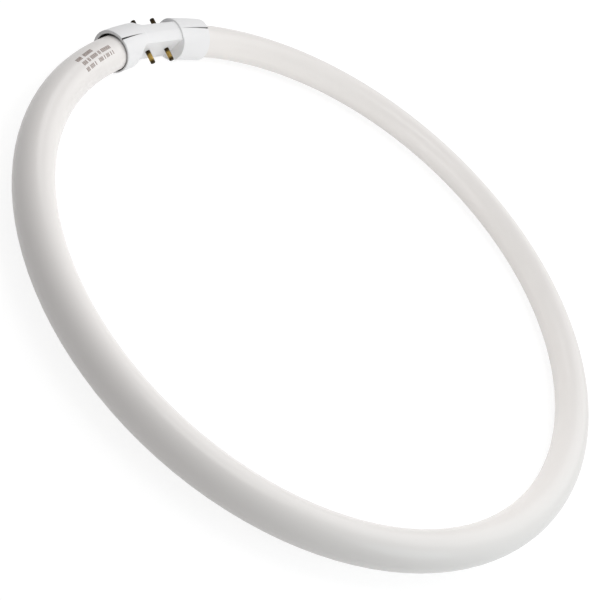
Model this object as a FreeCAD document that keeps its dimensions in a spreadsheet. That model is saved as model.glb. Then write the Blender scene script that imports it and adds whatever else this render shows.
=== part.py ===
import FreeCAD, Part
import math
import os

import Sketcher

Vector = FreeCAD.Vector
Rotation = FreeCAD.Rotation
Placement = FreeCAD.Placement

# Driving dimensions of a slim circular lamp with a four-pin cap, in millimetres and degrees.
# Lengths along the ring are measured on its centreline, from the middle of the pins. In the barrel
# the end of the tube and the end of the inner ramp are measured back from the barrel's mouth.
DIMENSIONS = {
    "ring_outer_diameter": 299.0,
    "tube_diameter": 16.0,
    "glass_barrel_end": 7.1,
    "glass_collar_end": 13.6,
    "glass_end_round": 2.5,
    "base_shift": 0.85,
    "bore_shift": 0.35,
    "base_turn": 18.0,
    "seam_turn": 15.0,
    "barrel_reach": 30.5,
    "barrel_foot": 12.5,
    "collar_reach": 30.5,
    "waist_reach": 11.5,
    "barrel_diameter": 20.0,
    "waist_step": 0.45,
    "collar_step": 0.2,
    "rim_round": 0.4,
    "seat_clearance": 0.15,
    "seat_height": 0.35,
    "seat_length": 2.0,
    "mouth_depth": 4.8,
    "inner_ramp_start": 12.0,
    "inner_ramp_end": 7.5,
    "outer_ramp_start": 9.0,
    "outer_ramp_end": 15.0,
    "seam_gap": 1.0,
    "flat_distance": 4.9,
    "flat_wall": 1.2,
    "pin_spacing": 13.0,
    "pin_diameter": 2.4,
    "pin_seat_diameter": 2.0,
    "pin_bore": 1.0,
    "pin_exposed": 6.5,
    "pin_tip_round": 0.5,
    "pin_head_diameter": 3.6,
    "pin_head_thickness": 0.6,
    "pin_fit": 0.05,
    "lead_diameter": 0.6,
    "lead_offset": 2.4,
    "lead_bend": 1.0,
    "lead_gap": 0.1,
}

RING_RADIUS = "(Sheet.ring_outer_diameter - Sheet.tube_diameter) / 2"
BORE_RING_RADIUS = f"{RING_RADIUS} - Sheet.base_shift + Sheet.bore_shift"
SEAT_RADIUS = "Sheet.tube_diameter / 2 + Sheet.bore_shift + Sheet.seat_clearance"
BORE_RADIUS = f"{SEAT_RADIUS} + Sheet.seat_height"
BARREL_RADIUS = "Sheet.barrel_diameter / 2"
WAIST_RADIUS = f"{BARREL_RADIUS} - Sheet.waist_step"
COLLAR_RADIUS = f"{BARREL_RADIUS} + Sheet.collar_step"
CHAMBER_DEPTH = "Sheet.flat_distance - Sheet.flat_wall"
COLLAR_WELL = "Sheet.waist_reach + Sheet.flat_wall"
INNER_RAMP_END = "Sheet.barrel_reach - Sheet.inner_ramp_end"
BARREL_WELL = f"{INNER_RAMP_END} - Sheet.flat_wall / 4"
GLASS_ENDS = {"barrel": "Sheet.barrel_reach - Sheet.glass_barrel_end", "collar": "Sheet.glass_collar_end"}

# The round of a rim stays within this share of the step that it runs along.
ROUND_SHARE = 0.9
RIM_ROUND = f"min(Sheet.rim_round; {ROUND_SHARE} * Sheet.waist_step)"

doc = FreeCAD.newDocument("circular_lamp")
sheet = doc.addObject("Spreadsheet::Sheet", "Sheet")
for row, (alias, value) in enumerate(DIMENSIONS.items(), start=1):
    sheet.set(f"A{row}", alias)
    sheet.set(f"B{row}", str(value))
    sheet.setAlias(f"B{row}", alias)
doc.recompute()


def along_ring(arc):
    """Expression for the angle in degrees that an arc length takes on the ring's centreline."""
    return f"({arc}) / ({RING_RADIUS}) * 180 / pi"


def new_body(label):
    body = doc.addObject("PartDesign::Body", label)
    body.Label = label
    return body


def origin_feature(body, role):
    return next(item for item in body.Origin.OriginFeatures if item.Role == role)


def attach(sketch, body, plane, axis=None):
    """Lay a sketch on an origin plane, with room to turn it about the given axis of that plane."""
    sketch.AttachmentSupport = [(origin_feature(body, plane), "")]
    sketch.MapMode = "FlatFace"
    if axis is not None:
        sketch.AttachmentOffset = Placement(Vector(), Rotation(axis, 1))
    return sketch


def meridian_sketch(body, name, arc):
    """Sketch on the plane through the ring's axis that stands at an arc length along the ring."""
    sketch = body.newObject("Sketcher::SketchObject", name)
    attach(sketch, body, "XZ_Plane", Vector(0, 1, 0))
    sketch.setExpression("AttachmentOffset.Rotation.Angle", along_ring(arc))
    return sketch


def pin_plane_sketch(body, name, distance="0"):
    """Sketch square to the pins, at a distance from the tube's axis towards the ring's centre."""
    sketch = body.newObject("Sketcher::SketchObject", name)
    attach(sketch, body, "YZ_Plane", Vector(1, 0, 0))
    sketch.setExpression("AttachmentOffset.Rotation.Angle", "Sheet.base_turn")
    sketch.setExpression("AttachmentOffset.Base.y", f"-({distance}) * sin(Sheet.base_turn)")
    sketch.setExpression("AttachmentOffset.Base.z",
                         f"({distance}) * cos(Sheet.base_turn) - ({RING_RADIUS})")
    return sketch


def lead_plane_sketch(body, name):
    """Sketch on the plane of the four pins: x runs to the ring's centre, y along the tube."""
    sketch = body.newObject("Sketcher::SketchObject", name)
    attach(sketch, body, "XY_Plane", Vector(0, 1, 0))
    sketch.setExpression("AttachmentOffset.Rotation.Angle", "Sheet.base_turn")
    sketch.setExpression("AttachmentOffset.Base.x", f"-({RING_RADIUS})")
    return sketch


def shift_outward(body):
    """The cap sits a little outward of the tube's axis, against the inner side of the glass."""
    body.setExpression("Placement.Base.x", "-Sheet.base_shift")


def bind(sketch, constraint, name, expression):
    """Add a dimension to a sketch under a name, and tie it to the sheet."""
    index = sketch.addConstraint(constraint)
    sketch.renameConstraint(index, name)
    sketch.setExpression(f"Constraints.{name}", expression)


def centre_on_ring(sketch, curve, ring_radius=RING_RADIUS):
    """Hold a round curve's centre at a distance from the ring's axis."""
    radius = (DIMENSIONS["ring_outer_diameter"] - DIMENSIONS["tube_diameter"]) / 2
    sketch.addConstraint(Sketcher.Constraint("PointOnObject", curve, 3, -1))
    bind(sketch, Sketcher.Constraint("DistanceX", curve, 3, -1, 1, radius), "ring_radius", ring_radius)


def tube_axis():
    return Vector((DIMENSIONS["tube_diameter"] - DIMENSIONS["ring_outer_diameter"]) / 2, 0, 0)


def draw_round_section(sketch, radius, ring_radius=RING_RADIUS):
    """Full round section about the tube's axis, or about one a little to its side."""
    start = DIMENSIONS["tube_diameter"] / 2
    circle = sketch.addGeometry(Part.Circle(tube_axis(), Vector(0, 0, 1), start))
    centre_on_ring(sketch, circle, ring_radius)
    bind(sketch, Sketcher.Constraint("Radius", circle, start), "section_radius", radius)


def draw_half_section(sketch, radius, outer):
    """Half of a round section, cut through the tube's axis along the turned seam line."""
    start = DIMENSIONS["tube_diameter"] / 2
    seam = math.radians(90 - DIMENSIONS["seam_turn"])
    first = seam if outer else seam - math.pi
    circle = Part.Circle(tube_axis(), Vector(0, 0, 1), start)
    arc = sketch.addGeometry(Part.ArcOfCircle(circle, first, first + math.pi))
    along_seam = Vector(math.cos(seam), math.sin(seam), 0) * start
    line = sketch.addGeometry(Part.LineSegment(tube_axis() - along_seam, tube_axis() + along_seam))
    back, front = (2, 1) if outer else (1, 2)
    sketch.addConstraint(Sketcher.Constraint("Coincident", line, 1, arc, back))
    sketch.addConstraint(Sketcher.Constraint("Coincident", line, 2, arc, front))
    sketch.addConstraint(Sketcher.Constraint("PointOnObject", arc, 3, line))
    centre_on_ring(sketch, arc)
    bind(sketch, Sketcher.Constraint("Radius", arc, start), "section_radius", radius)
    bind(sketch, Sketcher.Constraint("Angle", line, seam), "seam_angle", "90 - Sheet.seam_turn")


def draw_room(sketch, barrel_side, collar_side, half_height):
    """Rectangle about the tube's axis, with its own reach to each end of the cap."""
    corners = [Vector(-9, -8), Vector(9, -8), Vector(9, 8), Vector(-9, 8)]
    for index in range(4):
        sketch.addGeometry(Part.LineSegment(corners[index], corners[(index + 1) % 4]))
    for index in range(4):
        sketch.addConstraint(Sketcher.Constraint("Coincident", index, 2, (index + 1) % 4, 1))
    for index, direction in ((0, "Horizontal"), (2, "Horizontal"), (3, "Vertical")):
        sketch.addConstraint(Sketcher.Constraint(direction, index))
    sketch.addConstraint(Sketcher.Constraint("Symmetric", 1, 1, 1, 2, -1))
    bind(sketch, Sketcher.Constraint("DistanceX", 0, 1, -1, 1, 9), "barrel_side", barrel_side)
    bind(sketch, Sketcher.Constraint("DistanceX", -1, 1, 0, 2, 9), "collar_side", collar_side)
    bind(sketch, Sketcher.Constraint("DistanceY", 1, 1, 1, 2, 16), "height", f"2 * ({half_height})")


def draw_recess(sketch, ramp_start, ramp_end, outer):
    """Side view of the recess for two pins: a wall at the collar, the flat, and a soft ramp out."""
    side = -1 if outer else 1
    flat, wall = DIMENSIONS["flat_distance"], DIMENSIONS["waist_reach"]
    start, end = [-sheet.evalExpression(reach) for reach in (ramp_start, ramp_end)]
    crest, clear = 9.9 if outer else 12.5, 27.0
    bend = ((end - start) ** 2 + (crest - flat) ** 2) / (4 * (crest - flat))
    middle = Vector(side * (flat + crest) / 2, (start + end) / 2)
    corners = [Vector(side * flat, wall), Vector(side * flat, start), middle,
               Vector(side * crest, end), Vector(side * clear, end), Vector(side * clear, wall)]
    centres = [Vector(side * (flat + bend), start), Vector(side * (crest - bend), end)]

    def arc(centre, first, last):
        angles = [math.atan2(point.y - centre.y, point.x - centre.x) for point in (first, last)]
        angles[1] += 2 * math.pi if angles[1] < angles[0] else 0
        return Part.ArcOfCircle(Part.Circle(centre, Vector(0, 0, 1), bend), *angles)

    sketch.addGeometry(Part.LineSegment(corners[0], corners[1]))
    dip = (corners[2], corners[1]) if outer else (corners[1], corners[2])
    rise = (corners[2], corners[3]) if outer else (corners[3], corners[2])
    sketch.addGeometry(arc(centres[0], *dip))
    sketch.addGeometry(arc(centres[1], *rise))
    dip_in, dip_out = (2, 1) if outer else (1, 2)
    rise_in, rise_out = (1, 2) if outer else (2, 1)
    for first, last in ((3, 4), (4, 5), (5, 0)):
        sketch.addGeometry(Part.LineSegment(corners[first], corners[last]))
    sketch.addConstraint(Sketcher.Constraint("Tangent", 0, 2, 1, dip_in))
    sketch.addConstraint(Sketcher.Constraint("Tangent", 1, dip_out, 2, rise_in))
    sketch.addConstraint(Sketcher.Constraint("Perpendicular", 2, rise_out, 3, 1))
    for first, last in ((3, 4), (4, 5), (5, 0)):
        sketch.addConstraint(Sketcher.Constraint("Coincident", first, 2, last, 1))
    for line, direction in ((0, "Vertical"), (3, "Horizontal"), (4, "Vertical"), (5, "Horizontal")):
        sketch.addConstraint(Sketcher.Constraint(direction, line))
    sketch.addConstraint(Sketcher.Constraint("Equal", 1, 2))
    bind(sketch, Sketcher.Constraint("DistanceY", 0, 2, -1, 1, -start), "start", ramp_start)
    bind(sketch, Sketcher.Constraint("DistanceY", 3, 1, -1, 1, -end), "end", ramp_end)
    bind(sketch, Sketcher.Constraint("DistanceY", -1, 1, 0, 1, wall), "wall", "Sheet.waist_reach")

    def level(name, vertex, value, expression):
        points = (*vertex, -1, 1) if outer else (-1, 1, *vertex)
        bind(sketch, Sketcher.Constraint("DistanceX", *points, value), name, expression)

    fall = f"({ramp_end}) ^ 2 / (2 * ({RING_RADIUS}))"
    level("flat", (0, 1), flat, "Sheet.flat_distance")
    level("crest", (3, 1), crest, f"{COLLAR_RADIUS} {'-' if outer else '+'} {fall} + Sheet.waist_step")
    level("clear", (4, 2), clear, f"2 * ({COLLAR_RADIUS}) + Sheet.pin_exposed")


def draw_seam_wedge(sketch, sign, near, far):
    """Sliver beside the seam line, seen along the ring's axis, which opens towards the mouth."""
    gap = DIMENSIONS["seam_gap"]
    radius = (DIMENSIONS["ring_outer_diameter"] - DIMENSIONS["tube_diameter"]) / 2
    angles = [math.pi + sign * DIMENSIONS[name] / radius for name in (near, far)]
    tip, mouth = [Vector(math.cos(angle), math.sin(angle)) * radius for angle in angles]
    turn = sign * gap / (DIMENSIONS[far] - DIMENSIONS[near])
    outer_centre = tip + Rotation(Vector(0, 0, 1), math.degrees(-turn)).multVec(-tip)
    outer_mouth = mouth + Vector(-gap, 0, 0)
    ends = sorted(angles)
    sketch.addGeometry(Part.ArcOfCircle(Part.Circle(Vector(), Vector(0, 0, 1), radius), *ends))
    outer_angles = sorted(math.atan2(point.y - outer_centre.y, point.x - outer_centre.x) % (2 * math.pi)
                          for point in (tip, outer_mouth))
    sketch.addGeometry(Part.ArcOfCircle(Part.Circle(outer_centre, Vector(0, 0, 1), radius), *outer_angles))
    sketch.addGeometry(Part.LineSegment(outer_mouth, mouth))
    at_tip, at_mouth = (1, 2) if sign > 0 else (2, 1)
    sketch.addConstraint(Sketcher.Constraint("Coincident", 0, at_tip, 1, at_tip))
    sketch.addConstraint(Sketcher.Constraint("Coincident", 1, at_mouth, 2, 1))
    sketch.addConstraint(Sketcher.Constraint("Coincident", 2, 2, 0, at_mouth))
    sketch.addConstraint(Sketcher.Constraint("Coincident", 0, 3, -1, 1))
    sketch.addConstraint(Sketcher.Constraint("Horizontal", 2))
    sketch.addConstraint(Sketcher.Constraint("Equal", 0, 1))
    seam_radius = f"({RING_RADIUS}) - ({COLLAR_RADIUS}) * sin(Sheet.seam_turn)"
    bind(sketch, Sketcher.Constraint("Radius", 0, radius), "seam_radius", seam_radius)
    bind(sketch, Sketcher.Constraint("DistanceX", 2, 1, 2, 2, gap), "gap", "Sheet.seam_gap")
    for name, vertex, point, reach in (("tip", at_tip, tip, near), ("mouth", at_mouth, mouth, far)):
        points = (0, vertex, -1, 1) if point.y < 0 else (-1, 1, 0, vertex)
        bind(sketch, Sketcher.Constraint("DistanceY", *points, abs(point.y)), f"{name}_place",
             f"({seam_radius}) * sin({along_ring(f'Sheet.{reach}')})")


def swing(body, kind, name, sketch, span):
    """Turn a section about the ring's axis, towards the barrel end, over an arc length."""
    feature = body.newObject(kind, name)
    feature.Profile = sketch
    feature.ReferenceAxis = (sketch, ["V_Axis"])
    feature.setExpression("Angle", along_ring(span))
    body.Tip = feature
    return feature


def cut_through(body, name, sketch, depth):
    """Cut a sketch's outline to both sides of its plane."""
    feature = body.newObject("PartDesign::Pocket", name)
    feature.Profile = sketch
    feature.Midplane = True
    feature.setExpression("Length", f"2 * ({depth})")
    body.Tip = feature
    return feature


def cut_bore(body, name, radius, first, last):
    sketch = meridian_sketch(body, f"{name}_section", first)
    draw_round_section(sketch, radius, BORE_RING_RADIUS)
    return swing(body, "PartDesign::Groove", name, sketch, f"({last}) - ({first})")


def rim_edges(shape, radii):
    """The rims of the given radii that stand square to the ring."""
    return [f"Edge{index}" for index, edge in enumerate(shape.Edges, start=1)
            if isinstance(edge.Curve, Part.Circle) and abs(edge.Curve.Axis.z) < 1e-6
            and any(abs(edge.Curve.Radius - radius) < 1e-6 for radius in radii)]


def make_glass_tube():
    """The bent tube, a sealed bulb with its two rounded ends facing each other inside the cap."""
    body = new_body("glass_tube")
    sketch = meridian_sketch(body, "tube_section", GLASS_ENDS["barrel"])
    draw_round_section(sketch, "Sheet.tube_diameter / 2")
    bend = swing(body, "PartDesign::Revolution", "bent_tube", sketch, "0")
    bend.setExpression("Angle", f"360 - {along_ring(' + '.join(GLASS_ENDS.values()))}")
    doc.recompute()
    ends = body.newObject("PartDesign::Fillet", "sealed_ends")
    ends.Base = (bend, rim_edges(bend.Shape, [sheet.tube_diameter / 2]))
    ends.setExpression("Radius", "Sheet.glass_end_round")
    body.Tip = ends
    return body


def make_shell(label, outer):
    """One moulded half of the cap: barrel, collar, waist with a recess for the pins, and glass seats."""
    body = new_body(label)
    shift_outward(body)
    spans = {"waist": (WAIST_RADIUS, "-Sheet.waist_reach - Sheet.mouth_depth",
                       "Sheet.barrel_foot + Sheet.mouth_depth"),
             "barrel": (BARREL_RADIUS, "Sheet.barrel_foot", "Sheet.barrel_reach"),
             "collar": (COLLAR_RADIUS, "-Sheet.collar_reach", "-Sheet.waist_reach")}
    for name, (radius, first, last) in spans.items():
        section = meridian_sketch(body, f"{name}_section", first)
        draw_round_section(section, radius)
        block = swing(body, "PartDesign::Revolution", name, section, f"({last}) - ({first})")
    doc.recompute()
    barrel_radius = sheet.barrel_diameter / 2
    rims = body.newObject("PartDesign::Fillet", "soft_rims")
    rims.Base = (block, rim_edges(block.Shape, [barrel_radius, barrel_radius + sheet.collar_step]))
    rims.setExpression("Radius", RIM_ROUND)
    body.Tip = rims

    recess = lead_plane_sketch(body, "recess_profile")
    if outer:
        draw_recess(recess, "Sheet.outer_ramp_start", "Sheet.outer_ramp_end", outer)
    else:
        draw_recess(recess, "Sheet.inner_ramp_start", INNER_RAMP_END, outer)
    cut_through(body, "pin_recess", recess, f"2 * ({COLLAR_RADIUS})")

    for end, sign, reach, well in (("barrel", 1, "Sheet.barrel_reach", BARREL_WELL),
                                   ("collar", -1, "Sheet.collar_reach", COLLAR_WELL)):
        seat_ends = [f"{reach} - Sheet.mouth_depth", f"{reach} - Sheet.mouth_depth - Sheet.seat_length"]
        past_end = f"{reach} + Sheet.mouth_depth"
        spans = {"seat": (f"({well} + {seat_ends[1]}) / 2", past_end),
                 "mouth": (seat_ends[0], past_end),
                 "well": (well, seat_ends[1])}
        for name, (near, far) in spans.items():
            radius = SEAT_RADIUS if name == "seat" else BORE_RADIUS
            first, last = (near, far) if sign > 0 else (f"-({far})", f"-({near})")
            cut_bore(body, f"{end}_{name}", radius, first, last)

    chamber = pin_plane_sketch(body, "chamber_outline")
    fall = f"({BARREL_WELL}) ^ 2 / (2 * ({RING_RADIUS}))"
    chamber_height = f"sqrt(({SEAT_RADIUS}) ^ 2 - ({CHAMBER_DEPTH} + {fall}) ^ 2)"
    draw_room(chamber, f"{BARREL_WELL} + Sheet.flat_wall / 2", f"{COLLAR_WELL} + Sheet.flat_wall / 2",
              chamber_height)
    cut_through(body, "wiring_chamber", chamber, CHAMBER_DEPTH)

    holes = pin_plane_sketch(body, "pin_hole_outline")
    start = DIMENSIONS["pin_spacing"] / 2
    for sign in (-1, 1):
        holes.addGeometry(Part.Circle(Vector(sign * start, 0), Vector(0, 0, 1), 1.2))
    holes.addConstraint(Sketcher.Constraint("PointOnObject", 0, 3, -1))
    holes.addConstraint(Sketcher.Constraint("Symmetric", 0, 3, 1, 3, -1, 1))
    holes.addConstraint(Sketcher.Constraint("Equal", 0, 1))
    bind(holes, Sketcher.Constraint("DistanceX", 0, 3, 1, 3, 2 * start), "spacing", "Sheet.pin_spacing")
    bind(holes, Sketcher.Constraint("Radius", 0, 1.2), "hole_radius",
         "Sheet.pin_seat_diameter / 2 + Sheet.pin_fit")
    cut_through(body, "pin_holes", holes, f"2 * ({COLLAR_RADIUS})")

    other_half = meridian_sketch(body, "other_half", "-Sheet.collar_reach - Sheet.mouth_depth")
    draw_half_section(other_half, f"{COLLAR_RADIUS} + Sheet.mouth_depth", not outer)
    swing(body, "PartDesign::Groove", "parting", other_half,
          "Sheet.collar_reach + Sheet.barrel_reach + 2 * Sheet.mouth_depth")
    if outer:
        for end, sign, near in (("barrel", 1, "barrel_foot"), ("collar", -1, "waist_reach")):
            wedge_sketch = attach(body.newObject("Sketcher::SketchObject", f"{end}_gape"), body, "XY_Plane")
            draw_seam_wedge(wedge_sketch, sign, near, f"{end}_reach")
            wedge = body.newObject("PartDesign::Pocket", f"{end}_seam_wedge")
            wedge.Profile = wedge_sketch
            wedge.Reversed = True
            wedge.setExpression("Length", f"2 * ({COLLAR_RADIUS})")
            body.Tip = wedge
    return body


def add_cylinder(body, kind, name, radius, first, last):
    """A cylinder on the body's own axis between two heights."""
    cylinder = body.newObject(kind, name)
    cylinder.setExpression("Radius", radius)
    cylinder.setExpression("Height", f"({last}) - ({first})")
    cylinder.AttachmentSupport = [(origin_feature(body, "XY_Plane"), "")]
    cylinder.MapMode = "FlatFace"
    cylinder.setExpression("AttachmentOffset.Base.z", first)
    body.Tip = cylinder
    return cylinder


def make_pin(label, inward, along):
    """A hollow pin: a post with its shoulder on the flat, riveted over inside the cap."""
    body = new_body(label)
    head_top = "-Sheet.flat_wall"
    head_bottom = f"{head_top} - Sheet.pin_head_thickness"
    add_cylinder(body, "PartDesign::AdditiveCylinder", "seat", "Sheet.pin_seat_diameter / 2",
                 head_bottom, "0")
    add_cylinder(body, "PartDesign::AdditiveCylinder", "post", "Sheet.pin_diameter / 2",
                 "0", "Sheet.pin_exposed")
    add_cylinder(body, "PartDesign::AdditiveCylinder", "head", "Sheet.pin_head_diameter / 2",
                 head_bottom, head_top)
    bore = add_cylinder(body, "PartDesign::SubtractiveCylinder", "bore", "Sheet.pin_bore / 2",
                        head_bottom, "Sheet.pin_exposed")
    doc.recompute()
    tip = body.newObject("PartDesign::Fillet", "tip_round")
    tip.Base = (bore, [f"Edge{index}" for index, edge in enumerate(bore.Shape.Edges, start=1)
                       if isinstance(edge.Curve, Part.Circle)
                       and abs(edge.Curve.Center.z - sheet.pin_exposed) < 1e-6
                       and abs(edge.Curve.Radius - sheet.pin_diameter / 2) < 1e-6])
    tip.setExpression("Radius", "Sheet.pin_tip_round")
    body.Tip = tip
    side = 1 if inward else -1
    body.Placement = Placement(Vector(), Rotation(Vector(0, 1, 0), 1))
    body.setExpression("Placement.Base.x",
                       f"{side} * Sheet.flat_distance * cos(Sheet.base_turn) - ({RING_RADIUS})"
                       " - Sheet.base_shift")
    body.setExpression("Placement.Base.y", f"{along} * Sheet.pin_spacing / 2")
    body.setExpression("Placement.Base.z", f"{-side} * Sheet.flat_distance * sin(Sheet.base_turn)")
    body.setExpression("Placement.Rotation.Angle", f"{side} * 90 + Sheet.base_turn")
    return body


def make_lead(label, inward, along):
    """A wire from the sealed end of the tube, bent once, and up through its pin to the tip."""
    body = new_body(label)
    shift_outward(body)
    side = 1 if inward else -1
    glass_end = GLASS_ENDS["collar" if along > 0 else "barrel"]
    side_reach = f"{side} * (Sheet.lead_offset - Sheet.lead_bend)"
    end_lean = f"tan({along_ring(glass_end)})"
    near_radius = f"({RING_RADIUS}) + Sheet.base_shift - ({side_reach}) - Sheet.lead_diameter / 2"
    start_reach = f"({near_radius}) * {end_lean} - Sheet.lead_gap"
    offset, bend = DIMENSIONS["lead_offset"], DIMENSIONS["lead_bend"]
    pin_y = along * DIMENSIONS["pin_spacing"] / 2
    start = Vector(side * (offset - bend), along * sheet.evalExpression(glass_end))
    bend_in = Vector(side * (offset - bend), pin_y + along * bend)
    bend_out = Vector(side * offset, pin_y)
    tip = Vector(side * (DIMENSIONS["flat_distance"] + DIMENSIONS["pin_exposed"]), pin_y)
    path = lead_plane_sketch(body, "route")
    centre = Vector(bend_out.x, bend_in.y)
    leftward = side * along > 0
    arc_in, arc_out = (1, 2) if leftward else (2, 1)
    first = (bend_in if leftward else bend_out) - centre
    first_angle = math.atan2(first.y, first.x)
    circle = Part.Circle(centre, Vector(0, 0, 1), bend)
    path.addGeometry(Part.LineSegment(start, bend_in))
    path.addGeometry(Part.ArcOfCircle(circle, first_angle, first_angle + math.pi / 2))
    path.addGeometry(Part.LineSegment(bend_out, tip))
    path.addConstraint(Sketcher.Constraint("Tangent", 0, 2, 1, arc_in))
    path.addConstraint(Sketcher.Constraint("Tangent", 1, arc_out, 2, 1))
    path.addConstraint(Sketcher.Constraint("Vertical", 0))
    path.addConstraint(Sketcher.Constraint("Horizontal", 2))
    bind(path, Sketcher.Constraint("Radius", 1, bend), "bend", "Sheet.lead_bend")

    def place(name, direction, vertex, value, expression):
        """Dimension from the tube's axis to a point of the route, on the point's own side."""
        points = (-1, 1, *vertex) if value > 0 else (*vertex, -1, 1)
        bind(path, Sketcher.Constraint(direction, *points, abs(value)), name, expression)

    place("start_offset", "DistanceX", (0, 1), start.x, "Sheet.lead_offset - Sheet.lead_bend")
    place("start_reach", "DistanceY", (0, 1), start.y, start_reach)
    place("pin_place", "DistanceY", (2, 2), pin_y, "Sheet.pin_spacing / 2")
    place("tip_reach", "DistanceX", (2, 2), tip.x, "Sheet.flat_distance + Sheet.pin_exposed")

    section = body.newObject("Sketcher::SketchObject", "section")
    attach(section, body, "XZ_Plane")
    section.setExpression("AttachmentOffset.Base.x",
                          f"{side_reach} * cos(Sheet.base_turn) - ({RING_RADIUS})")
    section.setExpression("AttachmentOffset.Base.y", f"-({side_reach}) * sin(Sheet.base_turn)")
    section.setExpression("AttachmentOffset.Base.z", f"{-along} * ({start_reach})")
    section.addGeometry(Part.Circle(Vector(), Vector(0, 0, 1), DIMENSIONS["lead_diameter"] / 2))
    section.addConstraint(Sketcher.Constraint("Coincident", 0, 3, -1, 1))
    bind(section, Sketcher.Constraint("Radius", 0, DIMENSIONS["lead_diameter"] / 2), "wire_radius",
         "Sheet.lead_diameter / 2")
    doc.recompute()
    wire = body.newObject("PartDesign::AdditivePipe", "wire")
    wire.Profile = section
    wire.Spine = (path, ["Edge1", "Edge2", "Edge3"])
    body.Tip = wire
    return body


parts = [make_glass_tube(), make_shell("base_outer_shell", True), make_shell("base_inner_shell", False)]
for where, along_tube in (("barrel", -1), ("collar", 1)):
    for name, points_in in (("inner", True), ("outer", False)):
        parts.append(make_pin(f"{name}_pin_{where}_side", points_in, along_tube))
        parts.append(make_lead(f"lead_wire_{name}_{where}_side", points_in, along_tube))
doc.recompute()

for item in doc.Objects:
    if {"Invalid", "Error"} & set(item.State):
        raise RuntimeError(f"{item.Label} failed: {item.State}")
os.makedirs("parts", exist_ok=True)
for body in parts:
    shape = body.Shape
    if shape.isNull() or not shape.isValid() or len(shape.Solids) != 1:
        raise RuntimeError(f"{body.Label} is not one valid solid")
    print(f"{body.Label}: {shape.Volume:.2f} mm3, {shape.BoundBox}")
    shape.exportStep(f"parts/{body.Label}.step")
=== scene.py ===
import math

import bpy
from mathutils import Matrix, Vector


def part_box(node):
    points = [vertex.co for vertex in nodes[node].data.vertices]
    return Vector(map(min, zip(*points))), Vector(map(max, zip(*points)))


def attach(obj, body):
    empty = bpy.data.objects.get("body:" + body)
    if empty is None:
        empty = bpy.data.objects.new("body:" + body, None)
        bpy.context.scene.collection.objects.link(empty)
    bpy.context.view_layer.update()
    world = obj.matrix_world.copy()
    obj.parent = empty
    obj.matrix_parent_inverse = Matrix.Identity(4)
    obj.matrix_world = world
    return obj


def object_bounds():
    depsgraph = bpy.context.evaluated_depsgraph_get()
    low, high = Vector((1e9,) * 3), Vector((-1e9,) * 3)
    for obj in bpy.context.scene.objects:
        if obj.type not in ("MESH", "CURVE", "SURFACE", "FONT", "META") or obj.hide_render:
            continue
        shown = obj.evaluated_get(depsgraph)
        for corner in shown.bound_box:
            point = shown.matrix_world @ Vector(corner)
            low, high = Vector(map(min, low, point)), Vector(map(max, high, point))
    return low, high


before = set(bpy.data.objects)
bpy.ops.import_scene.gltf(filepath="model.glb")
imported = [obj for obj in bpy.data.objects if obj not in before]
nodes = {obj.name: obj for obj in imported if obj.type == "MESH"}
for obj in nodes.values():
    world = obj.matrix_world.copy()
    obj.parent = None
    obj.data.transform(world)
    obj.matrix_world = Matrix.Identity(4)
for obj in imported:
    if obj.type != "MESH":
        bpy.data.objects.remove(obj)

cad_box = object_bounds()

# The glass tube: soda-lime glass drawn to a slim tube, powdered white on the inside, then bent
# to a ring while hot. The powder is matt and warm white, and the clear glass over it gives the gloss.
POWDER_WHITE = (0.86, 0.835, 0.82, 1)
POWDER_THIN = (0.80, 0.775, 0.755, 1)
CLEAR_GLASS = {"Specular IOR Level": 0.1, "Coat Weight": 0.55, "Coat Roughness": 0.22, "Coat IOR": 1.5}


def uneven_group():
    """Soft cloudy variation between two tones, with a fine grain of its own."""
    group = bpy.data.node_groups.new("uneven_surface", "ShaderNodeTree")
    sockets = (("Tone A", "INPUT", "NodeSocketColor"), ("Tone B", "INPUT", "NodeSocketColor"),
               ("Cloud Scale", "INPUT", "NodeSocketFloat"), ("Grain Scale", "INPUT", "NodeSocketFloat"),
               ("Color", "OUTPUT", "NodeSocketColor"), ("Grain", "OUTPUT", "NodeSocketFloat"))
    for name, direction, kind in sockets:
        group.interface.new_socket(name, in_out=direction, socket_type=kind)
    entry = group.nodes.new("NodeGroupInput")
    result = group.nodes.new("NodeGroupOutput")
    place = group.nodes.new("ShaderNodeTexCoord")
    cloud = group.nodes.new("ShaderNodeTexNoise")
    cloud.inputs["Detail"].default_value = 3
    grain = group.nodes.new("ShaderNodeTexNoise")
    grain.inputs["Detail"].default_value = 2
    mix = group.nodes.new("ShaderNodeMix")
    mix.data_type = "RGBA"
    link = group.links.new
    link(place.outputs["Object"], cloud.inputs["Vector"])
    link(place.outputs["Object"], grain.inputs["Vector"])
    link(entry.outputs["Cloud Scale"], cloud.inputs["Scale"])
    link(entry.outputs["Grain Scale"], grain.inputs["Scale"])
    link(cloud.outputs["Fac"], mix.inputs["Factor"])
    link(entry.outputs["Tone A"], mix.inputs["A"])
    link(entry.outputs["Tone B"], mix.inputs["B"])
    link(mix.outputs["Result"], result.inputs["Color"])
    link(grain.outputs["Fac"], result.inputs["Grain"])
    return group


UNEVEN = uneven_group()


def remap(tree, value, source=(0, 1), target=(0, 1)):
    """Carry a value from one span to another, held within its ends."""
    node = tree.nodes.new("ShaderNodeMapRange")
    node.inputs["From Min"].default_value, node.inputs["From Max"].default_value = source
    node.inputs["To Min"].default_value, node.inputs["To Max"].default_value = target
    tree.links.new(value, node.inputs["Value"])
    return node.outputs["Result"]


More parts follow.
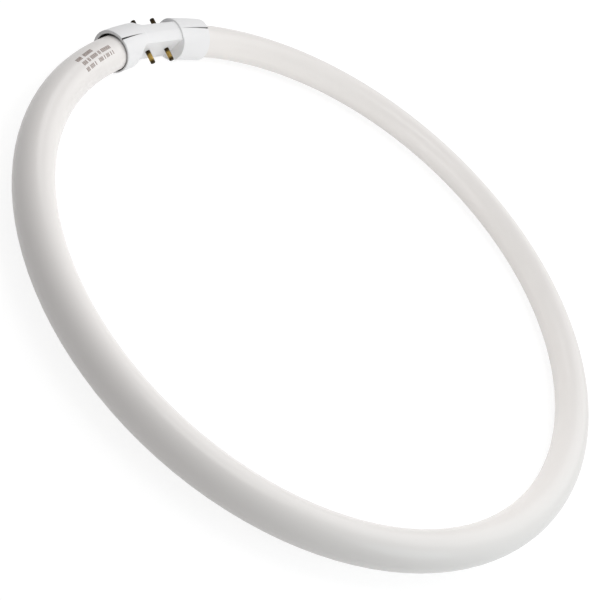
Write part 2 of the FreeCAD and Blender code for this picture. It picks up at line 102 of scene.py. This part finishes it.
def finish_material(name, tones, cloud_scale, grain_scale, roughness, relief_strength, relief_height):
    """A Principled material whose colour, roughness and fine relief come from the uneven surface."""
    material = bpy.data.materials.new(name)
    material.use_nodes = True
    tree = material.node_tree
    shader = tree.nodes["Principled BSDF"]
    uneven = tree.nodes.new("ShaderNodeGroup")
    uneven.node_tree = UNEVEN
    uneven.inputs["Tone A"].default_value, uneven.inputs["Tone B"].default_value = tones
    uneven.inputs["Cloud Scale"].default_value = cloud_scale
    uneven.inputs["Grain Scale"].default_value = grain_scale
    bump = tree.nodes.new("ShaderNodeBump")
    bump.inputs["Strength"].default_value = relief_strength
    bump.inputs["Distance"].default_value = relief_height
    grain = uneven.outputs["Grain"]
    tree.links.new(uneven.outputs["Color"], shader.inputs["Base Color"])
    tree.links.new(remap(tree, grain, target=roughness), shader.inputs["Roughness"])
    tree.links.new(grain, bump.inputs["Height"])
    tree.links.new(bump.outputs["Normal"], shader.inputs["Normal"])
    return material, shader


def dress(names, material):
    """Give CAD nodes their finish, without moving them."""
    for name in names:
        nodes[name].material_slots[0].material = material


coated_glass, shader = finish_material("coated_glass", (POWDER_WHITE, POWDER_THIN), cloud_scale=9,
                                       grain_scale=60, roughness=(0.75, 0.9),
                                       relief_strength=0.03, relief_height=0.0004)
for socket, value in CLEAR_GLASS.items():
    shader.inputs[socket].default_value = value
dress(["glass_tube"], coated_glass)

# The four lead wires: bare nickel-plated wire, two from each sealed end of the tube. Each is bent
# once, drawn up through its hollow pin and crimped there.
NICKEL_BRIGHT = (0.50, 0.49, 0.47, 1)
NICKEL_DULL = (0.36, 0.35, 0.33, 1)
lead_metal, shader = finish_material("lead_metal", (NICKEL_BRIGHT, NICKEL_DULL), cloud_scale=400,
                                     grain_scale=3000, roughness=(0.3, 0.5),
                                     relief_strength=0.1, relief_height=0.0001)
shader.inputs["Metallic"].default_value = 1
dress([name for name in nodes if name.startswith("lead_wire")], lead_metal)

# The four contact pins: hollow posts turned from brass, riveted into the cap, with a rounded tip.
# They turn darker towards the root and the tip, and the outer pair is dark all over with painted shade.
PIN_BRASS_AND_SHADE = {"inner": ((0.56, 0.39, 0.11, 1), (0.30, 0.19, 0.05, 1)),
             "outer": ((0.05, 0.037, 0.017, 1), (0.026, 0.018, 0.009, 1))}
# The dark tone that the brass turns to towards a pin's root and tip.
PIN_END_DARK = (0.018, 0.013, 0.008, 1)
# Distances of a pin's root and tip from the cap's axis, and the share of darkening between them.
PIN_REACH = (0.0063, 0.0112)
END_DARK_STOPS = ((0.0, 0.95), (0.22, 0.12), (0.62, 0.16), (0.86, 0.95))


def calc(tree, operation, *terms):
    """A Math node on sockets or plain numbers."""
    node = tree.nodes.new("ShaderNodeMath")
    node.operation = operation
    for index, term in enumerate(terms):
        if isinstance(term, bpy.types.NodeSocket):
            tree.links.new(term, node.inputs[index])
        else:
            node.inputs[index].default_value = term
    return node.outputs["Value"]


def length(tree, first, second):
    """The length of a flat vector from its two parts."""
    return calc(tree, "SQRT", calc(tree, "ADD", calc(tree, "MULTIPLY", first, first),
                                   calc(tree, "MULTIPLY", second, second)))


def object_place(tree):
    """The three Object coordinates as sockets."""
    place = tree.nodes.new("ShaderNodeTexCoord")
    split = tree.nodes.new("ShaderNodeSeparateXYZ")
    tree.links.new(place.outputs["Object"], split.inputs["Vector"])
    return [split.outputs[axis] for axis in "XYZ"]


def stain(tree, shader, colour, share):
    """Mix a colour over the shader's own by a share that changes over the surface."""
    tint = tree.nodes.new("ShaderNodeMix")
    tint.data_type = "RGBA"
    tint.inputs["B"].default_value = colour
    clean = shader.inputs["Base Color"].links[0].from_socket
    tree.links.new(share, tint.inputs["Factor"])
    tree.links.new(clean, tint.inputs["A"])
    tree.links.new(tint.outputs["Result"], shader.inputs["Base Color"])


def brass_darker_at_ends(name, tones, centre):
    """Brass that darkens towards the two ends of a pin, by its distance from the cap's axis."""
    material, shader = finish_material(name, tones, cloud_scale=700, grain_scale=4000,
                                       roughness=(0.14, 0.28), relief_strength=0.15,
                                       relief_height=0.0001)
    shader.inputs["Metallic"].default_value = 1
    tree = material.node_tree
    x, _, z = object_place(tree)
    reach = length(tree, calc(tree, "SUBTRACT", x, centre.x), calc(tree, "SUBTRACT", z, centre.z))
    dark = tree.nodes.new("ShaderNodeValToRGB")
    stops = dark.color_ramp.elements
    while len(stops) < len(END_DARK_STOPS):
        stops.new(1.0)
    for stop, (position, level) in zip(stops, END_DARK_STOPS):
        stop.position = position
        stop.color = (level, level, level, 1)
    tree.links.new(remap(tree, reach, source=PIN_REACH), dark.inputs["Fac"])
    stain(tree, shader, PIN_END_DARK, dark.outputs["Color"])
    return material


pin_boxes = [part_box(name) for name in nodes if "_pin_" in name]
cap_centre = sum((corner for box in pin_boxes for corner in box), Vector()) / (2 * len(pin_boxes))
# The outer pair's dark tones are painted shade, not the colour of their brass.
for side, tones in PIN_BRASS_AND_SHADE.items():
    brass = brass_darker_at_ends(f"{side}_pin_brass", tones, cap_centre)
    dress([name for name in nodes if name.startswith(f"{side}_pin")], brass)

# The cap: two half shells injection-moulded in white plastic with a satin surface and slightly soft
# edges. They close round both ends of the tube, and little light reaches into the mouths.
PLASTIC_WHITE = (0.83, 0.832, 0.84, 1)
PLASTIC_DULL = (0.80, 0.80, 0.81, 1)
EDGE_ROUND = 0.00025
EDGE_SAMPLES = 8
MOUTH_SHADE = (0.05, 0.045, 0.04, 1)
# The cap's axis lies this far outward of the tube's, and the shade deepens between these two radii.
CAP_SHIFT = 0.00085
SHADE_RADII = (0.0100, 0.0095)
# Lengths along the tube from the middle of the cap to the open seam, the bores and the rims.
SEAM_START = 0.0156
BORE_START = 0.0232
RIM_START = 0.0304
# Only the upper seam is shaded, from this height on, and the rims take a part of the shade.
SEAM_HEIGHT = 0.0078
RIM_SHARE = 0.2

tube_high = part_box("glass_tube")[1]
tube_radius = tube_high.z
ring_radius = tube_high.x - tube_radius
cap_plastic, shader = finish_material("cap_plastic", (PLASTIC_WHITE, PLASTIC_DULL), cloud_scale=40,
                                      grain_scale=900, roughness=(0.36, 0.48),
                                      relief_strength=0.08, relief_height=0.0001)
tree = cap_plastic.node_tree
soft_edge = tree.nodes.new("ShaderNodeBevel")
soft_edge.samples = EDGE_SAMPLES
soft_edge.inputs["Radius"].default_value = EDGE_ROUND
relief = shader.inputs["Normal"].links[0].from_node
tree.links.new(soft_edge.outputs["Normal"], relief.inputs["Normal"])
x, y, z = object_place(tree)
from_axis = length(tree, calc(tree, "ADD", x, CAP_SHIFT), y)
from_tube = length(tree, calc(tree, "SUBTRACT", from_axis, ring_radius), z)
turn_sine = calc(tree, "DIVIDE", calc(tree, "ABSOLUTE", y), from_axis)
past_seam, past_bore, past_rim = [calc(tree, "GREATER_THAN", turn_sine, math.sin(arc / ring_radius))
                                  for arc in (SEAM_START, BORE_START, RIM_START)]
depth = remap(tree, from_tube, source=SHADE_RADII)
in_seam = calc(tree, "MULTIPLY", past_seam, calc(tree, "GREATER_THAN", z, SEAM_HEIGHT))
inside = calc(tree, "MULTIPLY", calc(tree, "MAXIMUM", past_bore, in_seam), depth)
behind_rim = calc(tree, "MULTIPLY", inside, calc(tree, "SUBTRACT", 1, past_rim))
stain(tree, shader, MOUTH_SHADE, calc(tree, "MULTIPLY_ADD", past_rim, RIM_SHARE, behind_rim))
dress(["base_inner_shell", "base_outer_shell"], cap_plastic)

# The print: three rows of plain bars in brown-grey ink, stamped on the glass beside the cap and
# wrapped round the tube. The first row is the short one, and a bar is missing here and there.
INK_BROWN = (0.33, 0.26, 0.235, 1)
PRINT_SIZES = {"Ring Radius": ring_radius, "Tube Radius": tube_radius, "Start": 0.0387, "Length": 0.0236,
               "Middle Angle": math.radians(101), "Row Pitch": 0.0029, "Ink Depth": 0.00014,
               "Ink Sink": 0.00002, "First Row Start": 0.0101, "Blank Share": 0.24}
PRINT_COUNTS = {"Columns": 27, "Rows": 3, "Seed": 4}
# A row of the grid is this many cells high, of which the first ones are inked.
ROW_CELLS = 5
INKED_CELLS = 3
# The draws of one row are numbered this far from those of the next.
ROW_DRAWS = 1000


def print_tree():
    """Bars cut from a flat grid and wrapped on the bent tube."""
    tree = bpy.data.node_groups.new("printed_rows", "GeometryNodeTree")
    for names, kind in ((PRINT_SIZES, "NodeSocketFloat"), (PRINT_COUNTS, "NodeSocketInt"),
                        (["Ink"], "NodeSocketMaterial")):
        for name in names:
            tree.interface.new_socket(name, in_out="INPUT", socket_type=kind)
    tree.interface.new_socket("Geometry", in_out="OUTPUT", socket_type="NodeSocketGeometry")
    size = tree.nodes.new("NodeGroupInput").outputs
    link = tree.links.new
    cells = calc(tree, "SUBTRACT", calc(tree, "MULTIPLY", size["Columns"], 2), 1)
    height = calc(tree, "MULTIPLY", size["Row Pitch"], size["Rows"])
    grid = tree.nodes.new("GeometryNodeMeshGrid")
    link(size["Length"], grid.inputs["Size X"])
    link(height, grid.inputs["Size Y"])
    link(calc(tree, "ADD", cells, 1), grid.inputs["Vertices X"])
    link(calc(tree, "MULTIPLY_ADD", size["Rows"], ROW_CELLS, 1), grid.inputs["Vertices Y"])

    place = tree.nodes.new("GeometryNodeInputPosition")
    split = tree.nodes.new("ShaderNodeSeparateXYZ")
    link(place.outputs["Position"], split.inputs["Vector"])
    along = calc(tree, "ADD", split.outputs["X"], calc(tree, "MULTIPLY", size["Length"], 0.5))
    up = calc(tree, "ADD", split.outputs["Y"], calc(tree, "MULTIPLY", height, 0.5))
    column = calc(tree, "FLOOR", calc(tree, "DIVIDE", calc(tree, "MULTIPLY", along, cells),
                                      size["Length"]))
    level = calc(tree, "DIVIDE", up, size["Row Pitch"])
    row = calc(tree, "FLOOR", level)
    between = calc(tree, "GREATER_THAN", calc(tree, "FRACT", level), INKED_CELLS / ROW_CELLS)
    chance = tree.nodes.new("FunctionNodeRandomValue")
    link(calc(tree, "MULTIPLY_ADD", row, ROW_DRAWS, column), chance.inputs["ID"])
    link(size["Seed"], chance.inputs["Seed"])
    draw = next(socket for socket in chance.outputs if socket.enabled)
    blank = calc(tree, "LESS_THAN", draw, size["Blank Share"])
    short = calc(tree, "MULTIPLY", calc(tree, "LESS_THAN", row, 1),
                 calc(tree, "LESS_THAN", along, size["First Row Start"]))
    gap = calc(tree, "ADD", calc(tree, "MODULO", column, 2), between)
    cut = tree.nodes.new("GeometryNodeDeleteGeometry")
    cut.domain = "FACE"
    link(grid.outputs["Mesh"], cut.inputs["Geometry"])
    link(calc(tree, "ADD", gap, calc(tree, "ADD", blank, short)), cut.inputs["Selection"])
    raised = tree.nodes.new("GeometryNodeExtrudeMesh")
    link(cut.outputs["Geometry"], raised.inputs["Mesh"])
    raised.inputs["Individual"].default_value = False
    link(size["Ink Depth"], raised.inputs["Offset Scale"])

    turn = calc(tree, "DIVIDE", calc(tree, "ADD", along, size["Start"]), size["Ring Radius"])
    roll = calc(tree, "ADD", calc(tree, "DIVIDE", split.outputs["Y"], size["Tube Radius"]),
                size["Middle Angle"])
    out = calc(tree, "ADD", calc(tree, "SUBTRACT", size["Tube Radius"], size["Ink Sink"]),
               split.outputs["Z"])
    reach = calc(tree, "MULTIPLY", calc(tree, "MULTIPLY_ADD", calc(tree, "COSINE", roll), out,
                                        size["Ring Radius"]), -1)
    wrapped = tree.nodes.new("ShaderNodeCombineXYZ")
    link(calc(tree, "MULTIPLY", reach, calc(tree, "COSINE", turn)), wrapped.inputs["X"])
    link(calc(tree, "MULTIPLY", reach, calc(tree, "SINE", turn)), wrapped.inputs["Y"])
    link(calc(tree, "MULTIPLY", out, calc(tree, "SINE", roll)), wrapped.inputs["Z"])
    wrap = tree.nodes.new("GeometryNodeSetPosition")
    link(raised.outputs["Mesh"], wrap.inputs["Geometry"])
    link(wrapped.outputs["Vector"], wrap.inputs["Position"])
    real = tree.nodes.new("GeometryNodeRealizeInstances")
    inked = tree.nodes.new("GeometryNodeSetMaterial")
    result = tree.nodes.new("NodeGroupOutput")
    link(wrap.outputs["Geometry"], real.inputs["Geometry"])
    link(real.outputs["Geometry"], inked.inputs["Geometry"])
    link(size["Ink"], inked.inputs["Material"])
    link(inked.outputs["Geometry"], result.inputs["Geometry"])
    return tree


print_ink, _ = finish_material("print_ink", (INK_BROWN, INK_BROWN), cloud_scale=200, grain_scale=3000,
                               roughness=(0.5, 0.7), relief_strength=0.02, relief_height=0.0001)
tube_print = bpy.data.objects.new("tube_print", bpy.data.meshes.new("tube_print"))
bpy.context.scene.collection.objects.link(tube_print)
stamp = tube_print.modifiers.new("printed_rows", "NODES")
stamp.node_group = print_tree()
print_inputs = {**PRINT_SIZES, **PRINT_COUNTS, "Ink": print_ink}
for socket in stamp.node_group.interface.items_tree:
    if socket.in_out == "INPUT":
        stamp[socket.identifier] = print_inputs[socket.name]
bare_mesh = tube_print.data
stamped = tube_print.evaluated_get(bpy.context.evaluated_depsgraph_get())
tube_print.data = bpy.data.meshes.new_from_object(stamped)
tube_print.modifiers.remove(stamp)
bpy.data.meshes.remove(bare_mesh)
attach(tube_print, "root")

# The table: a wide sheet of white card under the lamp. The camera and every gloss see it lit up to
# white, and it still shows a part of the lamp's soft shadow.
FLOOR_HALF = 6.0
CARD_WHITE = (0.92, 0.92, 0.92, 1)
BACKLIGHT_STRENGTH = 1.16
BACKLIGHT_SHARE = 0.72


def background_rays(tree):
    """1 on the rays that show the background: from the camera, or off a gloss or through glass."""
    rays = tree.nodes.new("ShaderNodeLightPath").outputs
    mirrored = calc(tree, "MAXIMUM", rays["Is Glossy Ray"], rays["Is Transmission Ray"])
    return calc(tree, "MAXIMUM", rays["Is Camera Ray"], mirrored)


floor_height = cad_box[0].z
mesh = bpy.data.meshes.new("floor")
corners = [(x * FLOOR_HALF, y * FLOOR_HALF, floor_height) for x, y in ((-1, -1), (1, -1), (1, 1), (-1, 1))]
mesh.from_pydata(corners, [], [(0, 1, 2, 3)])
floor = bpy.data.objects.new("floor", mesh)
bpy.context.scene.collection.objects.link(floor)
floor_white = bpy.data.materials.new("floor_white")
floor_white.use_nodes = True
tree = floor_white.node_tree
tree.nodes.remove(tree.nodes["Principled BSDF"])
card = tree.nodes.new("ShaderNodeBsdfDiffuse")
card.inputs["Color"].default_value = CARD_WHITE
backlight = tree.nodes.new("ShaderNodeEmission")
backlight.inputs["Strength"].default_value = BACKLIGHT_STRENGTH
blend = tree.nodes.new("ShaderNodeMixShader")
tree.links.new(calc(tree, "MULTIPLY", background_rays(tree), BACKLIGHT_SHARE), blend.inputs["Fac"])
tree.links.new(card.outputs["BSDF"], blend.inputs[1])
tree.links.new(backlight.outputs["Emission"], blend.inputs[2])
tree.links.new(blend.outputs["Shader"], tree.nodes["Material Output"].inputs["Surface"])
mesh.materials.append(floor_white)

# The lamps: a soft window high behind the ring, a lantern over its middle and one outside the cap,
# light thrown back by the table inside the ring, and a cool lantern low on the right.
KEY_DIRECTION = Vector((0.14, 0.78, 0.61)).normalized()
KEY_DISTANCE = 1.3
LAMPS = {"key_window": {"place": KEY_DIRECTION * KEY_DISTANCE, "aim": Vector(),
                        "size": 1.2, "energy": 4.3, "color": (1, 1, 1)},
         "fill_lantern": {"place": Vector((0.03, 0.0, 0.32)), "aim": Vector(),
                          "size": 0.16, "energy": 0.20, "color": (1, 0.99, 0.98)},
         "left_lantern": {"place": Vector((-0.32, 0.12, 0.26)), "aim": Vector((-0.14, 0, 0)),
                          "size": 0.16, "energy": 0.15, "color": (1, 0.98, 0.97)},
         "table_bounce": {"place": Vector((0.0, -0.06, 0.03)), "aim": Vector((0.02, 0.14, 0.01)),
                          "size": 0.10, "energy": 0.08, "color": (1, 0.98, 0.95)},
         "side_lantern": {"place": Vector((0.25, -0.06, 0.12)), "aim": Vector(),
                          "size": 0.12, "energy": 0.06, "color": (0.82, 0.96, 1)}}
for name, values in LAMPS.items():
    lamp = bpy.data.lights.new(name, "AREA")
    lamp.shape = "DISK"
    lamp.size = values["size"]
    lamp.energy = values["energy"]
    lamp.color = values["color"]
    light = bpy.data.objects.new(name, lamp)
    light.location = values["place"]
    light.rotation_euler = (values["place"] - values["aim"]).to_track_quat("Z", "Y").to_euler()
    light.visible_camera = False
    bpy.context.scene.collection.objects.link(light)

# The room: white all round to the camera and to every gloss. The light that it gives falls off
# towards the side that the camera stands on.
DIM_DIRECTION = Vector((-0.35, -0.9, 0.1)).normalized()
DIM_SPAN = (-0.1, 0.9)
ROOM_LEVELS = (0.68, 0.22)
world = bpy.data.worlds.new("white_room")
world.use_nodes = True
tree = world.node_tree
background = tree.nodes["Background"]
background.inputs["Color"].default_value = (1, 1, 1, 1)
sky = tree.nodes.new("ShaderNodeTexCoord")
facing = tree.nodes.new("ShaderNodeVectorMath")
facing.operation = "DOT_PRODUCT"
facing.inputs[1].default_value = DIM_DIRECTION
tree.links.new(sky.outputs["Generated"], facing.inputs[0])
room_level = remap(tree, facing.outputs["Value"], DIM_SPAN, ROOM_LEVELS)
seen_level = calc(tree, "MAXIMUM", background_rays(tree), room_level)
tree.links.new(seen_level, background.inputs["Strength"])
bpy.context.scene.world = world

# The camera: where the photograph was taken from, close above the ring and rolled to the side,
# with a normal lens.
CAMERA_PLACE = Vector((0.07345, -0.3198, 0.2398))
CAMERA_FORWARD = Vector((-0.1709, 0.7480, -0.6413)).normalized()
CAMERA_RIGHT = Vector((0.6319, 0.5825, 0.5112))
LENS_MM = 52.4
SENSOR_MM = 36
NEAR_CLIP = 0.01
right = (CAMERA_RIGHT - CAMERA_RIGHT.dot(CAMERA_FORWARD) * CAMERA_FORWARD).normalized()
up = right.cross(CAMERA_FORWARD)
camera_data = bpy.data.cameras.new("camera")
camera_data.lens = LENS_MM
camera_data.sensor_width = SENSOR_MM
camera_data.clip_start = NEAR_CLIP
camera = bpy.data.objects.new("camera", camera_data)
turn = Matrix((right, up, -CAMERA_FORWARD)).transposed().to_4x4()
camera.matrix_world = Matrix.Translation(CAMERA_PLACE) @ turn
bpy.context.scene.collection.objects.link(camera)
bpy.context.scene.camera = camera
bpy.context.scene.view_settings.view_transform = "Standard"
